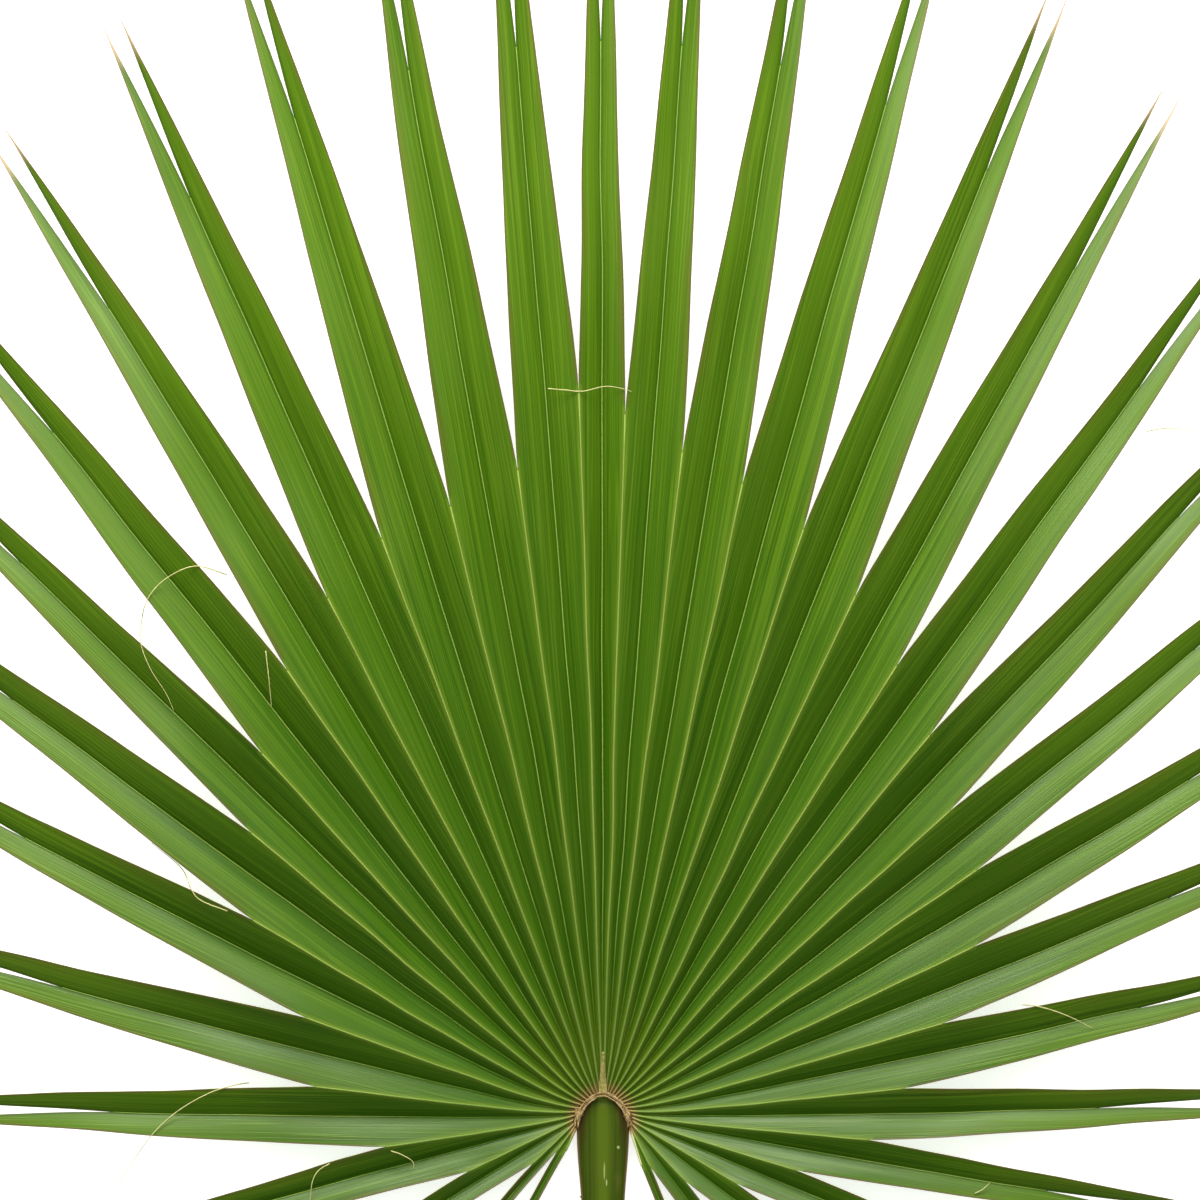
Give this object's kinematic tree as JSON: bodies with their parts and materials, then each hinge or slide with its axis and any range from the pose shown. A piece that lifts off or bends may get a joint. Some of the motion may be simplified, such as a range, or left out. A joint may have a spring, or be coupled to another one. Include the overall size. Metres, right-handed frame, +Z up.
{
  "type": "fan palm leaf",
  "caption": "Cut palmate palm leaf lying face up: pleated fan of split-tipped segments joined round the hub, on a toothed stalk.",
  "frame": {"origin": "centre of the leaf's footprint, on the surface that it lies on", "axes": "+Y from the cut end of the stalk to the tip of the middle segment, +X to the right of the leaf's upper face, +Z up out of the surface"},
  "size_m": [0.7706, 0.92, 0.0564],
  "materials": {
    "blade": "satin green leaf with fine parallel veins",
    "petiole": "smooth satin green stalk with brown margins",
    "hastula": "rough tan fibre",
    "fibre": "dry pale straw"
  },
  "bodies": {
    "root": {"blade": "blade", "petiole": "petiole", "hastula": "hastula", "fibre_1": "fibre", "fibre_2": "fibre", "fibre_3": "fibre", "fibre_4": "fibre", "fibre_5": "fibre", "fibre_6": "fibre", "fibre_7": "fibre", "fibre_8": "fibre", "fibre_9": "fibre", "fibre_10": "fibre"}
  },
  "joints": []
}
